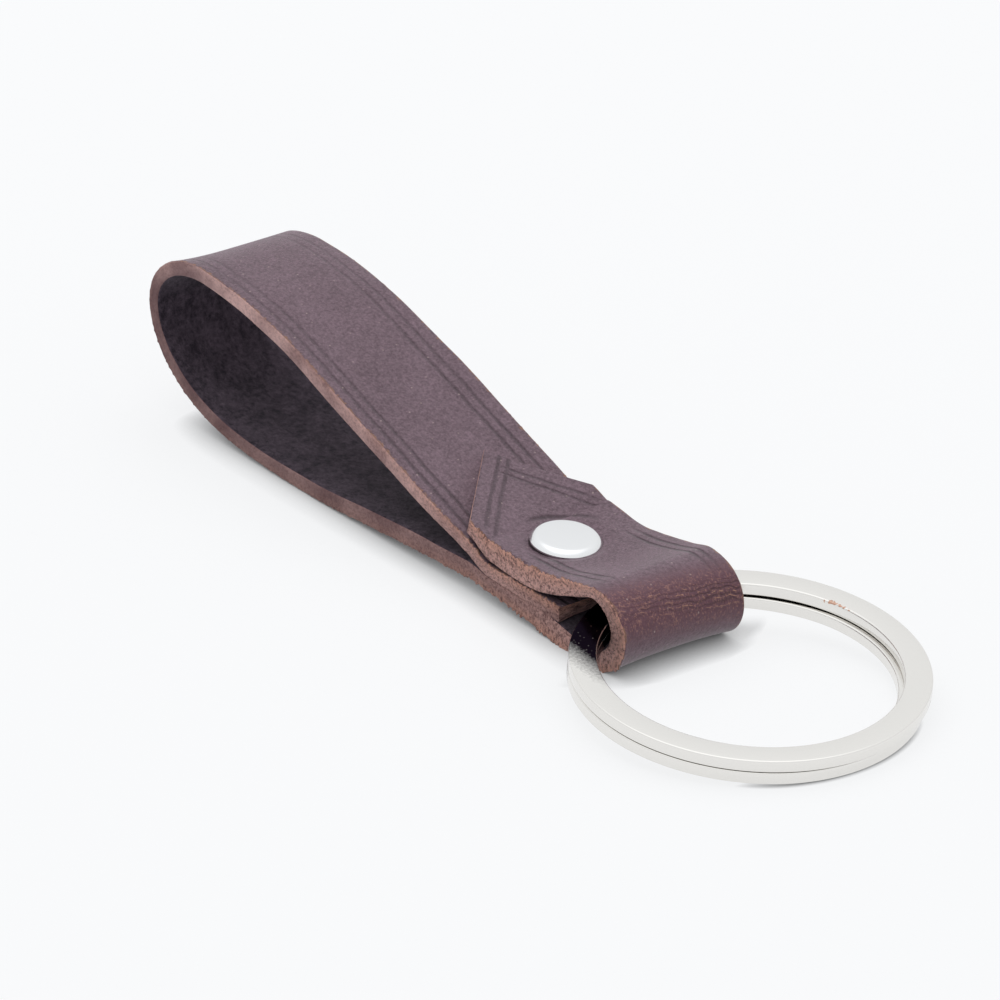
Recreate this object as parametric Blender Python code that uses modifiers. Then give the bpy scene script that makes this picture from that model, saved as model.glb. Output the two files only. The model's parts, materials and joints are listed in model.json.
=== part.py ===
"""Key ring: one leather strap folded into a finger loop and a ring eye, a double-cap rivet and a flat split ring.

Metres, +Z up. The strap lies along X with its finger loop at -X and the ring at +X. The origin is on the
floor, under the middle of the whole object's length and width.
"""
import math

import bmesh
import bpy
from mathutils import Vector
from mathutils.geometry import interpolate_bezier

# Flat split ring: two turns of flat wire, with the step between the turns hidden in the ring eye
RING_RADIUS = 0.016
WIRE_WIDTH = 0.0025
WIRE_THICKNESS = 0.0010
WIRE_CORNER = 0.00025
TURN_GAP = 0.00042
STEP_ANGLE = math.radians(24)
RING_STATION_ANGLE = math.radians(6)
STEP_STATION_ANGLE = math.radians(3)
CORNER_POINTS = 3

# Leather strap: its width, its pointed end, and its thickness where it is split thinner or left full
STRAP_WIDTH = 0.0136
POINT_LENGTH = 0.0074
POINT_BLUNT_WIDTH = 0.0006
LEATHER_AT_POINT = 0.0012
LEATHER_AT_RIVET = 0.0021
LEATHER_AT_EYE = 0.0020
LEATHER_UNDER_RIVET = 0.0016
LEATHER_AT_FINGERS = 0.0014
LEATHER_AT_TAIL = 0.0011
LAYER_GAP = 0.00016
SWING_CLEARANCE = 0.0001

# Where the strap folds: distances back from the hinge axis in the ring eye, and heights above the floor
RIVET_BACK = 0.01155
RIVET_ASIDE = -0.0008
STACK_MARGIN = 0.0001
TAIL_CLEARANCE = 0.0022
FOOT_BACK = 0.01824
HUMP_BACK = 0.0182
HUMP_HEIGHT = 0.0014
TOUCH_BACK = 0.0445
FINGER_LOOP_REACH = 0.0671
FINGER_END_HEIGHT = 0.0101
FINGER_LOOP_HEIGHT = 0.0165
CREST_BACK = 0.0583
RUN_BACK = 0.0389
RUN_HEIGHT = 0.0114
UNDER_FOOT_HEIGHT = 0.0045
RUN_SLOPE = math.radians(-19.5)
POINT_SLOPE = math.radians(-18.5)
EYE_SHOULDER_ANGLE = math.radians(20)
STATION_SPACING = 0.0016
EYE_STATION_ANGLE = math.radians(10)
STRIPS_ACROSS = 4
FEWEST_STATIONS = 4
BEND_PULL = 0.37

# Double-cap rivet: four stampings round one axis
CAP_RADIUS = 0.0031
TOP_CAP_HEIGHT = 0.00125
BOTTOM_CAP_HEIGHT = 0.0008
CAP_SKIRT = 0.0004
STAMPING_WALL = 0.0002
SEAT_GAP = 0.00015
SEAT_DEPTH = 0.00025
SEAT_CLEARANCE = 0.00015
FLANGE_CLEARANCE = 0.0008
SOCKET_RADIUS = 0.0013
SOCKET_WALL = 0.00025
SOCKET_STOP = 0.0016
POST_CLEARANCE = 0.00012
POST_WALL = 0.0003
POST_PROUD = 0.00012
HOLE_CLEARANCE = 0.0003
PUNCH_REACH = 0.001
DOME_POINTS = 8
TURNED_STEPS = 48

# Fits that follow from the sizes above
INNER_RADIUS = RING_RADIUS - WIRE_WIDTH
MIDDLE_RADIUS = RING_RADIUS - WIRE_WIDTH / 2
RING_HALF_HEIGHT = WIRE_THICKNESS + TURN_GAP / 2
INNER_EDGE_BACK = math.sqrt(INNER_RADIUS ** 2 - (STRAP_WIDTH / 2) ** 2)
HINGE_TO_RING = (RING_RADIUS + INNER_EDGE_BACK) / 2
SPAN_HALF_WIDTH = (RING_RADIUS - INNER_EDGE_BACK) / 2
SWING_RADIUS = WIRE_CORNER + math.hypot(SPAN_HALF_WIDTH - WIRE_CORNER, RING_HALF_HEIGHT - WIRE_CORNER)
EYE_RADIUS = SWING_RADIUS + SWING_CLEARANCE
HINGE_HEIGHT = LEATHER_UNDER_RIVET + EYE_RADIUS
HINGE_TO_RIM = HINGE_TO_RING + RING_RADIUS

BOTTOM_FACE = BOTTOM_CAP_HEIGHT + SEAT_GAP
BOTTOM_LAYER = BOTTOM_FACE + LEATHER_UNDER_RIVET / 2
MIDDLE_LAYER = BOTTOM_LAYER + (LEATHER_UNDER_RIVET + LEATHER_AT_TAIL) / 2 + LAYER_GAP
TOP_LAYER = MIDDLE_LAYER + (LEATHER_AT_TAIL + LEATHER_AT_RIVET) / 2 + LAYER_GAP
TOP_FACE = TOP_LAYER + LEATHER_AT_RIVET / 2
TOP_SEAT = TOP_FACE - SEAT_DEPTH

SEAT_RADIUS = CAP_RADIUS + SEAT_CLEARANCE
FLANGE_RADIUS = CAP_RADIUS - STAMPING_WALL - FLANGE_CLEARANCE
STACK_LEFT = RIVET_BACK + SEAT_RADIUS + STACK_MARGIN
STACK_RIGHT = RIVET_BACK - SEAT_RADIUS - STACK_MARGIN
TAIL_BACK = EYE_RADIUS + TAIL_CLEARANCE
POINT_BACK = FOOT_BACK + POINT_LENGTH * math.cos(POINT_SLOPE)
UNDER_POINT_HEIGHT = UNDER_FOOT_HEIGHT - POINT_LENGTH * math.sin(POINT_SLOPE)


def ring_tilt():
    """Angle at which the ring leans from the hinge down to the floor at its far rim."""
    reach = HINGE_TO_RIM - WIRE_CORNER
    half = RING_HALF_HEIGHT - WIRE_CORNER
    drop = HINGE_HEIGHT - WIRE_CORNER
    return math.asin(drop / math.hypot(reach, half)) - math.atan2(half, reach)


def far_rim():
    """Distance along X from the hinge to the ring's farthest point."""
    tilt = ring_tilt()
    along = (HINGE_TO_RIM - WIRE_CORNER) * math.cos(tilt)
    return along + (RING_HALF_HEIGHT - WIRE_CORNER) * math.sin(tilt) + WIRE_CORNER


HINGE_X = (FINGER_LOOP_REACH - far_rim()) / 2
RIVET_X = HINGE_X - RIVET_BACK


def material(name, colour, roughness, metallic):
    """A Principled BSDF material with a plain colour."""
    made = bpy.data.materials.new(name)
    made.use_nodes = True
    shader = made.node_tree.nodes["Principled BSDF"]
    shader.inputs["Base Color"].default_value = (*colour, 1.0)
    shader.inputs["Roughness"].default_value = roughness
    shader.inputs["Metallic"].default_value = metallic
    return made


def place(name, mesh, collection, finish=None):
    """Link a mesh object with its finish."""
    made = bpy.data.objects.new(name, mesh)
    collection.objects.link(made)
    if finish:
        mesh.materials.append(finish)
    return made


def knot(back, height, heading, leather):
    """A point on the strap's middle line, with the way it heads there and its thickness."""
    return {"at": Vector((-back, 0, height)), "heading": heading, "leather": leather}


def bend_between(first, second):
    """Stations (x, z, thickness, half width) along a smooth bend from one knot up to the next one."""
    chord = (second["at"] - first["at"]).length
    pull = chord * BEND_PULL
    leave = first["at"] + pull * Vector((math.cos(first["heading"]), 0, math.sin(first["heading"])))
    enter = second["at"] - pull * Vector((math.cos(second["heading"]), 0, math.sin(second["heading"])))
    count = max(FEWEST_STATIONS, round(chord / STATION_SPACING))
    points = interpolate_bezier(first["at"], leave, enter, second["at"], count + 1)
    stations = []
    for index, point in enumerate(points[:-1]):
        share = index / count
        leather = first["leather"] * (1 - share) + second["leather"] * share
        stations.append((point.x, point.z, leather, STRAP_WIDTH / 2))
    return stations


def bends_through(knots):
    """Stations through a row of knots, without the last knot's own."""
    stations = []
    for first, second in zip(knots, knots[1:]):
        stations += bend_between(first, second)
    return stations


def eye_stations():
    """Stations round the ring eye, whose inside is a circle about the hinge axis."""
    start = math.pi / 2 + EYE_SHOULDER_ANGLE
    end = -math.pi / 2
    count = round((start - end) / EYE_STATION_ANGLE)
    stations = []
    for index in range(count + 1):
        angle = start + (end - start) * index / count
        leather = LEATHER_UNDER_RIVET + (LEATHER_AT_EYE - LEATHER_UNDER_RIVET) * max(math.cos(angle), 0) ** 2
        radius = EYE_RADIUS + leather / 2
        x = radius * math.cos(angle)
        stations.append((x, HINGE_HEIGHT + radius * math.sin(angle), leather, STRAP_WIDTH / 2))
    return stations


def pointed_end(below):
    """Stations of the pointed end, which lies along the stations of the layer below it."""
    stations = []
    for index, (x, z, leather_below, _) in enumerate(below):
        before = below[max(index - 1, 0)]
        after = below[min(index + 1, len(below) - 1)]
        slope = math.atan2(after[1] - before[1], after[0] - before[0])
        share = index / len(below)
        leather = LEATHER_AT_POINT * (1 - share) + LEATHER_AT_RIVET * share
        lift = (leather_below + leather) / 2 + LAYER_GAP
        cut_share = min((x - below[0][0]) / (POINT_LENGTH * math.cos(POINT_SLOPE)), 1)
        width = POINT_BLUNT_WIDTH * (1 - cut_share) + STRAP_WIDTH * cut_share
        stations.append((x - lift * math.sin(slope), z + lift * math.cos(slope), leather, width / 2))
    return stations


def strap_stations():
    """Stations along the folded strap, from its pointed end to its hidden square end."""
    fingers = LEATHER_AT_FINGERS
    eye = eye_stations()
    under_the_point = bends_through([
        knot(POINT_BACK, UNDER_POINT_HEIGHT, POINT_SLOPE, fingers),
        knot(FOOT_BACK, UNDER_FOOT_HEIGHT, POINT_SLOPE, fingers),
        knot(STACK_LEFT, MIDDLE_LAYER, 0, LEATHER_AT_TAIL),
    ])
    to_the_eye = [
        knot(STACK_LEFT, TOP_LAYER, 0, LEATHER_AT_RIVET),
        knot(STACK_RIGHT, TOP_LAYER, 0, LEATHER_AT_RIVET),
        knot(-eye[0][0], eye[0][1], EYE_SHOULDER_ANGLE, LEATHER_UNDER_RIVET),
    ]
    round_the_fingers = [
        knot(-eye[-1][0], eye[-1][1], math.pi, LEATHER_UNDER_RIVET),
        knot(STACK_RIGHT, BOTTOM_LAYER, math.pi, LEATHER_UNDER_RIVET),
        knot(STACK_LEFT, BOTTOM_LAYER, math.pi, LEATHER_UNDER_RIVET),
        knot(HUMP_BACK, HUMP_HEIGHT + LEATHER_UNDER_RIVET / 2, math.pi, LEATHER_UNDER_RIVET),
        knot(TOUCH_BACK, LEATHER_UNDER_RIVET / 2, math.pi, LEATHER_UNDER_RIVET),
        knot(FINGER_LOOP_REACH - fingers / 2, FINGER_END_HEIGHT, math.pi / 2, fingers),
        knot(CREST_BACK, FINGER_LOOP_HEIGHT - fingers / 2, 0, fingers),
        knot(RUN_BACK, RUN_HEIGHT, RUN_SLOPE, fingers),
        knot(POINT_BACK, UNDER_POINT_HEIGHT, POINT_SLOPE, fingers),
    ]
    tail = bends_through([
        knot(STACK_LEFT, MIDDLE_LAYER, 0, LEATHER_AT_TAIL),
        knot(TAIL_BACK, MIDDLE_LAYER, 0, LEATHER_AT_TAIL),
    ])
    tail_end = (-TAIL_BACK, MIDDLE_LAYER, LEATHER_AT_TAIL, STRAP_WIDTH / 2)
    top = pointed_end(under_the_point) + bends_through(to_the_eye)
    loop = bends_through(round_the_fingers) + under_the_point
    return top + eye[:-1] + loop + tail + [tail_end]


def build_strap(parts, cutters):
    """The strap: a flat grid carried along the fold, given its thickness and punched for the rivet."""
    stations = strap_stations()
    thickest = max(station[2] for station in stations)
    sheet = bmesh.new()
    bmesh.ops.create_grid(sheet, x_segments=len(stations) - 1, y_segments=STRIPS_ACROSS, size=1)
    weights = sheet.verts.layers.deform.verify()
    for vertex in sheet.verts:
        index = round((vertex.co.x + 1) / 2 * (len(stations) - 1))
        x, z, leather, half_width = stations[index]
        vertex.co = Vector((HINGE_X + x, vertex.co.y * half_width, z))
        vertex[weights][0] = leather / thickest
    for face in sheet.faces:
        face.smooth = True
    for edge in sheet.edges:
        edge.smooth = not edge.is_boundary
    mesh = bpy.data.meshes.new("strap")
    sheet.to_mesh(mesh)
    sheet.free()
    leather = material("vegetable_tanned_leather", (0.10, 0.055, 0.06), 0.55, 0.0)
    strap = place("strap", mesh, parts, leather)
    strap.vertex_groups.new(name="leather_thickness")
    solid = strap.modifiers.new("leather_thickness", "SOLIDIFY")
    solid.thickness = thickest
    solid.offset = 0
    solid.vertex_group = "leather_thickness"
    punch(strap, "rivet_hole", SOCKET_RADIUS + HOLE_CLEARANCE, BOTTOM_FACE - PUNCH_REACH, cutters)
    punch(strap, "cap_seat", SEAT_RADIUS, TOP_SEAT, cutters)


def punch(strap, name, radius, bottom, cutters):
    """Cut the strap round the rivet's axis, from above its top face down to the height given."""
    top = TOP_FACE + PUNCH_REACH
    shape = bmesh.new()
    bmesh.ops.create_cone(shape, cap_ends=True, segments=TURNED_STEPS, radius1=radius, radius2=radius,
                          depth=top - bottom)
    mesh = bpy.data.meshes.new(name)
    shape.to_mesh(mesh)
    shape.free()
    cutter = place(name, mesh, cutters)
    cutter.location = (RIVET_X, RIVET_ASIDE, (top + bottom) / 2)
    cutter.hide_render = True
    cutter.display_type = "WIRE"
    cut = strap.modifiers.new(name, "BOOLEAN")
    cut.operation = "DIFFERENCE"
    cut.solver = "EXACT"
    cut.object = cutter


def turned(name, profile, closed, parts, finish):
    """A piece turned round the rivet's axis from a profile of (radius, height) points."""
    points = [(radius, 0, height) for radius, height in profile]
    edges = [(index, index + 1) for index in range(len(points) - 1)]
    if closed:
        edges.append((len(points) - 1, 0))
    mesh = bpy.data.meshes.new(name)
    mesh.from_pydata(points, edges, [])
    piece = place(name, mesh, parts, finish)
    piece.location = (RIVET_X, RIVET_ASIDE, 0)
    screw = piece.modifiers.new("turn", "SCREW")
    screw.axis = "Z"
    screw.steps = TURNED_STEPS
    screw.render_steps = TURNED_STEPS
    screw.use_merge_vertices = True
    screw.merge_threshold = 0.000001
    screw.use_smooth_shade = True
    return piece


def dome(base, height, radius, direction):
    """Points of a domed face from its crown out to its edge."""
    points = []
    for index in range(DOME_POINTS + 1):
        angle = math.pi / 2 * index / DOME_POINTS
        points.append((radius * math.sin(angle), base + direction * height * math.cos(angle)))
    return points


def cap_profile(face, height, direction):
    """A cap's shell, outer face first, whose skirt stands just off the leather face."""
    seat = face + direction * SEAT_GAP
    edge = seat + direction * CAP_SKIRT
    outer = dome(edge, height - CAP_SKIRT, CAP_RADIUS, direction)
    inner = dome(edge, height - CAP_SKIRT - STAMPING_WALL, CAP_RADIUS - STAMPING_WALL, direction)
    return outer + [(CAP_RADIUS, seat), (CAP_RADIUS - STAMPING_WALL, seat)] + inner[::-1]


def build_rivet(parts):
    """The double-cap rivet: a capped socket from above and a capped post from below, through three layers."""
    nickel = material("nickel_plated_steel", (0.78, 0.77, 0.74), 0.22, 1.0)
    top_flange = TOP_SEAT + SEAT_GAP
    socket_bore = SOCKET_RADIUS - SOCKET_WALL
    post_radius = socket_bore - POST_CLEARANCE
    post_top = top_flange + STAMPING_WALL + POST_PROUD
    bottom_flange = BOTTOM_FACE - SEAT_GAP
    socket_bottom = bottom_flange + SOCKET_STOP
    turned("rivet_top_cap", cap_profile(TOP_SEAT, TOP_CAP_HEIGHT, 1), False, parts, nickel)
    turned("rivet_socket", [
        (socket_bore, top_flange + STAMPING_WALL),
        (FLANGE_RADIUS, top_flange + STAMPING_WALL),
        (FLANGE_RADIUS, top_flange),
        (SOCKET_RADIUS, top_flange),
        (SOCKET_RADIUS, socket_bottom),
        (socket_bore, socket_bottom),
    ], True, parts, nickel)
    turned("rivet_post", [
        (0, post_top),
        (post_radius, post_top),
        (post_radius, bottom_flange),
        (FLANGE_RADIUS, bottom_flange),
        (FLANGE_RADIUS, bottom_flange - STAMPING_WALL),
        (post_radius - POST_WALL, bottom_flange - STAMPING_WALL),
        (post_radius - POST_WALL, post_top - POST_WALL),
        (0, post_top - POST_WALL),
    ], False, parts, nickel)
    bottom_profile = cap_profile(BOTTOM_FACE, BOTTOM_CAP_HEIGHT, -1)
    turned("rivet_bottom_cap", bottom_profile[::-1], False, parts, nickel)


def turn_height(angle_past_start):
    """Height of the wire's middle at an angle along it: two level turns joined by one smooth step."""
    level = math.tau - STEP_ANGLE
    rise = WIRE_THICKNESS + TURN_GAP
    share = min(max((angle_past_start - level) / STEP_ANGLE, 0), 1)
    return rise * (share * share * (3 - 2 * share) - 0.5)


def ring_path():
    """Points along the wire's middle in the ring's own frame, the step on the side of the strap."""
    level = math.tau - STEP_ANGLE
    level_count = round(level / RING_STATION_ANGLE)
    step_count = round(STEP_ANGLE / STEP_STATION_ANGLE)
    first_turn = [level * index / level_count for index in range(level_count)]
    step = [level + STEP_ANGLE * index / step_count for index in range(step_count)]
    second_turn = [math.tau + level * index / level_count for index in range(level_count + 1)]
    start = math.pi + STEP_ANGLE / 2
    points = []
    for angle in first_turn + step + second_turn:
        x = MIDDLE_RADIUS * math.cos(start + angle)
        y = MIDDLE_RADIUS * math.sin(start + angle)
        points.append(Vector((x, y, turn_height(angle))))
    return points


def rounded_rectangle():
    """Points round the wire's section, clockwise so that the wire's faces point outwards."""
    points = []
    for quarter in range(4):
        side_x = 1 if quarter in (0, 3) else -1
        side_y = 1 if quarter in (0, 1) else -1
        for index in range(CORNER_POINTS):
            angle = math.pi / 2 * (quarter + index / (CORNER_POINTS - 1))
            x = side_x * (WIRE_WIDTH / 2 - WIRE_CORNER) + WIRE_CORNER * math.cos(angle)
            y = side_y * (WIRE_THICKNESS / 2 - WIRE_CORNER) + WIRE_CORNER * math.sin(angle)
            points.append((x, y, 0))
    return points[::-1]


def poly_curve(name, points, closed, collection):
    """A curve object with one straight-segment spline."""
    curve = bpy.data.curves.new(name, "CURVE")
    curve.dimensions = "3D"
    spline = curve.splines.new("POLY")
    spline.points.add(len(points) - 1)
    for spline_point, point in zip(spline.points, points):
        spline_point.co = (*point, 1)
    spline.use_cyclic_u = closed
    made = bpy.data.objects.new(name, curve)
    collection.objects.link(made)
    return made


def build_ring(parts, cutters):
    """The flat split ring, hung on an empty whose Y axis is the line that it swings about in the eye."""
    hinge = bpy.data.objects.new("ring_swing_axis", None)
    hinge.location = (HINGE_X, 0, HINGE_HEIGHT)
    hinge.rotation_euler = (0, ring_tilt(), 0)
    parts.objects.link(hinge)
    section = poly_curve("wire_section", rounded_rectangle(), True, cutters)
    section.hide_render = True
    section.display_type = "WIRE"
    ring = poly_curve("split_ring", ring_path(), False, parts)
    ring.data.twist_mode = "Z_UP"
    ring.data.bevel_mode = "OBJECT"
    ring.data.bevel_object = section
    ring.data.use_fill_caps = True
    ring.data.materials.append(material("nickel_plated_spring_steel", (0.76, 0.75, 0.72), 0.28, 1.0))
    ring.parent = hinge
    ring.location = (HINGE_TO_RING, 0, 0)


def least_turn_gap(points):
    """Least clear distance between the wire's two turns, over every pair of points a third of the wire apart."""
    apart = len(points) // 3
    least = math.inf
    for index, point in enumerate(points):
        for other in points[index + apart:]:
            aside = math.hypot(point.x - other.x, point.y - other.y)
            least = min(least, math.hypot(aside, abs(point.z - other.z) - WIRE_THICKNESS))
    return least


def main():
    """Clear the scene and build every piece."""
    for existing in list(bpy.data.objects):
        bpy.data.objects.remove(existing, do_unlink=True)
    parts = bpy.data.collections.new("key_ring")
    cutters = bpy.data.collections.new("cutters")
    bpy.context.scene.collection.children.link(parts)
    bpy.context.scene.collection.children.link(cutters)
    build_strap(parts, cutters)
    build_rivet(parts)
    build_ring(parts, cutters)
    print(f"Least gap between the ring's turns: {least_turn_gap(ring_path()) * 1000:.2f} mm")
    print(f"Hinge axis at x {HINGE_X:.6f}, z {HINGE_HEIGHT:.6f}, ring tilt {math.degrees(ring_tilt()):.3f} degrees")


main()
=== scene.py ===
"""Key ring: the looks of the folded leather strap, its double-cap rivet and its flat split ring.

Metres, +Z up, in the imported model's own frame. The strap is cut flat, punched and then folded, as the real one
is, and its materials follow the flat leather by the attributes that it carries through the fold.
"""
import json
import logging
import math
from contextlib import contextmanager
from dataclasses import dataclass, field
from enum import Enum, IntEnum
from functools import partial
from typing import Callable, Iterator

import bmesh
import bpy
import numpy as np
from bpy.types import Material, Mesh, Node, NodeSocket, NodeTree, Object
from mathutils import Matrix, Vector, noise
from mathutils.geometry import interpolate_bezier


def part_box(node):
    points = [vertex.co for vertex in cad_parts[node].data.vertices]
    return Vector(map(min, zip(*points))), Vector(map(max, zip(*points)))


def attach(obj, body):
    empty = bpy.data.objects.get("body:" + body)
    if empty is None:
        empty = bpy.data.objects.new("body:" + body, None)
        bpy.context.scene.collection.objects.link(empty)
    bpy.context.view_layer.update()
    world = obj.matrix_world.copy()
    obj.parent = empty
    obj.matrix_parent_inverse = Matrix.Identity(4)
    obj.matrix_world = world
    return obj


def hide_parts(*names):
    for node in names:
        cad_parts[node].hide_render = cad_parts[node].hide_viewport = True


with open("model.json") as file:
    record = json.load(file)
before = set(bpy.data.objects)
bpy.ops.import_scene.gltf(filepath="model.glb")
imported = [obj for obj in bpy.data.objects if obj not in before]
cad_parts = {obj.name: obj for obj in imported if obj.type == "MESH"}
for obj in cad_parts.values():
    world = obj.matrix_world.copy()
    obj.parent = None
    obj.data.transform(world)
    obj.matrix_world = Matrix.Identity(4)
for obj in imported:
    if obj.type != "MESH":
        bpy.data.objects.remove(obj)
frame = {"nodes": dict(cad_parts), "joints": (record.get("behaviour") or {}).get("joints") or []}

MM = 0.001
# How close a point lies to a cutting plane, to a face and to an edge that it counts as part of
CUT_SPARE = 0.0005 * MM
FACE_SPARE = 0.01 * MM
EDGE_SPARE = 0.02 * MM
# A Mix node's settings and its output for a colour
COLOUR_MIX = {"data_type": "RGBA", "out": 2}
Triple = tuple[float, float, float]
log = logging.getLogger("key_ring")


class Body(Enum):
    """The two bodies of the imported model."""
    STRAP = "strap_body"
    RING = "ring_body"


class Slot(Enum):
    """The record's material slots."""
    LEATHER = "leather"
    RING_PLATING = "ring_plating"
    RIVET_PLATING = "rivet_plating"


class LeatherSide(IntEnum):
    """The order of the strap's three materials."""
    GRAIN = 0
    FLESH = 1
    CUT = 2


# Tools for meshes

@contextmanager
def editing(piece: Object) -> Iterator[None]:
    """Edit mode on one piece alone, with all of it selected.

    Args:
        piece: The mesh object to shape.
    """
    only(piece)
    bpy.ops.object.mode_set(mode="EDIT")
    bpy.ops.mesh.select_all(action="SELECT")
    yield
    bpy.ops.object.mode_set(mode="OBJECT")


def only(piece: Object) -> None:
    """Select one piece alone and make it the active one.

    Args:
        piece: The piece.
    """
    bpy.ops.object.select_all(action="DESELECT")
    piece.select_set(True)
    bpy.context.view_layer.objects.active = piece


def settle(name: str) -> Object:
    """Name the piece just added and put its place in its mesh.

    Args:
        name: The piece's name.

    Returns:
        The piece, at the origin, unturned and unscaled.
    """
    piece = bpy.context.active_object
    piece.name = name
    piece.data.name = name
    bpy.ops.object.transform_apply(location=True, rotation=True, scale=True)
    return piece


def apply_all(piece: Object) -> None:
    """Apply a piece's modifiers in their order.

    Args:
        piece: The piece.
    """
    only(piece)
    for modifier in list(piece.modifiers):
        bpy.ops.object.modifier_apply(modifier=modifier.name)


def pick_edges(piece: Object, wanted: Callable[[Vector, Vector], bool]) -> None:
    """Select in edit mode the edges whose two ends satisfy a test.

    Args:
        piece: The piece in edit mode.
        wanted: Test on the places of an edge's two ends.
    """
    shape = bmesh.from_edit_mesh(piece.data)
    for part in (*shape.verts, *shape.edges, *shape.faces):
        part.select = False
    for edge in shape.edges:
        if wanted(edge.verts[0].co, edge.verts[1].co):
            edge.select_set(True)
    bmesh.update_edit_mesh(piece.data)


def turn_out() -> None:
    """Turn all faces of the piece in edit mode outward."""
    bpy.ops.mesh.select_all(action="SELECT")
    bpy.ops.mesh.normals_make_consistent(inside=False)


def shade(piece: Object, degrees: float) -> None:
    """Shade a piece smoothly, save at edges sharper than an angle."""
    only(piece)
    bpy.ops.object.shade_smooth_by_angle(angle=math.radians(degrees))


def coat(piece: Object, finish: Material) -> None:
    """Give a piece one finish in place of any other."""
    piece.data.materials.clear()
    piece.data.materials.append(finish)


def points_of(mesh: Mesh) -> np.ndarray:
    """Places of a mesh's points, a row for each.

    Args:
        mesh: The mesh.

    Returns:
        An array three wide.
    """
    flat = np.zeros(len(mesh.vertices) * 3)
    mesh.vertices.foreach_get("co", flat)
    return flat.reshape(-1, 3)


def eased(share: float | np.ndarray) -> float | np.ndarray:
    """A share from 0 to 1 that starts and ends smoothly."""
    return share * share * (3 - 2 * share)


def hand_over(piece: Object, body: Body, slot: Slot, *stands_for: str) -> None:
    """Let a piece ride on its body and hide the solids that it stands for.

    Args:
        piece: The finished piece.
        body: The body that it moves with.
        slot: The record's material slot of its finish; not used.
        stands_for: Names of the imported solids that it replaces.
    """
    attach(piece, body.value)
    if stands_for:
        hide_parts(*stands_for)
    log.info("%s: %d faces on %s", piece.name, len(piece.data.polygons), body.value)


# Tools for materials

def linear(code: str) -> tuple[float, float, float, float]:
    """Linear colour of an sRGB hex code.

    Args:
        code: Six hex digits after a hash mark.

    Returns:
        Red, green, blue and full opacity.
    """
    shares = (int(code[start:start + 2], 16) / 255 for start in (1, 3, 5))
    return (*(s / 12.92 if s <= 0.04045 else ((s + 0.055) / 1.055) ** 2.4 for s in shares), 1.0)


def add(tree: NodeTree, kind: str, inputs: dict | tuple = (), out: int | str = 0,
        **settings: str | int | bool) -> NodeSocket:
    """Add a node with its settings, values and links.

    Args:
        tree: The node tree.
        kind: The node's type without its ShaderNode prefix.
        inputs: A value, or the socket to link from, for each input in order, or by its name or number.
        out: Name or number of the output to return.
        settings: Properties of the node.

    Returns:
        One output of the new node.
    """
    made = tree.nodes.new("ShaderNode" + kind)
    for name, value in settings.items():
        setattr(made, name, value)
    for key, value in inputs.items() if isinstance(inputs, dict) else enumerate(inputs):
        if isinstance(value, NodeSocket):
            tree.links.new(value, made.inputs[key])
        else:
            made.inputs[key].default_value = value
    return made.outputs[out]


def connect(shader: Node, sources: dict[str, NodeSocket]) -> None:
    """Link a socket to each of a shader's inputs that is named."""
    for name, socket in sources.items():
        shader.id_data.links.new(socket, shader.inputs[name])


def new_material(name: str, shader: dict) -> tuple[Material, NodeTree, Node]:
    """A material with one Principled BSDF.

    Args:
        name: What the material is.
        shader: Values that are the same all over the surface, by socket name.

    Returns:
        The material, its node tree and its shader node.
    """
    made = bpy.data.materials.new(name)
    made.use_nodes = True
    principled = made.node_tree.nodes["Principled BSDF"]
    for socket, value in shader.items():
        principled.inputs[socket].default_value = value
    return made, made.node_tree, principled


def flat_place(tree: NodeTree, stretch: Triple) -> NodeSocket:
    """Place on the flat leather in millimetres, stretched for one pattern.

    Args:
        tree: The node tree.
        stretch: Factors along the strap, across it and through it.

    Returns:
        A vector socket.
    """
    carried = add(tree, "Attribute", out="Vector", attribute_name="flat_place")
    return add(tree, "Mapping", {"Vector": carried, "Scale": tuple(factor / MM for factor in stretch)})


# Finishes

@dataclass(frozen=True)
class CreasePair:
    """Two grooves that the creasing tool leaves beside one cut of the flat strip, over one stretch of it.

    Each ramp is a direction on the flat strip and the two distances along it between which the grooves fade in.
    """
    cut: tuple[Vector, Vector]
    insets: tuple[float, float]
    depth: float
    ramps: tuple[tuple[Vector, float, float], ...]


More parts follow.
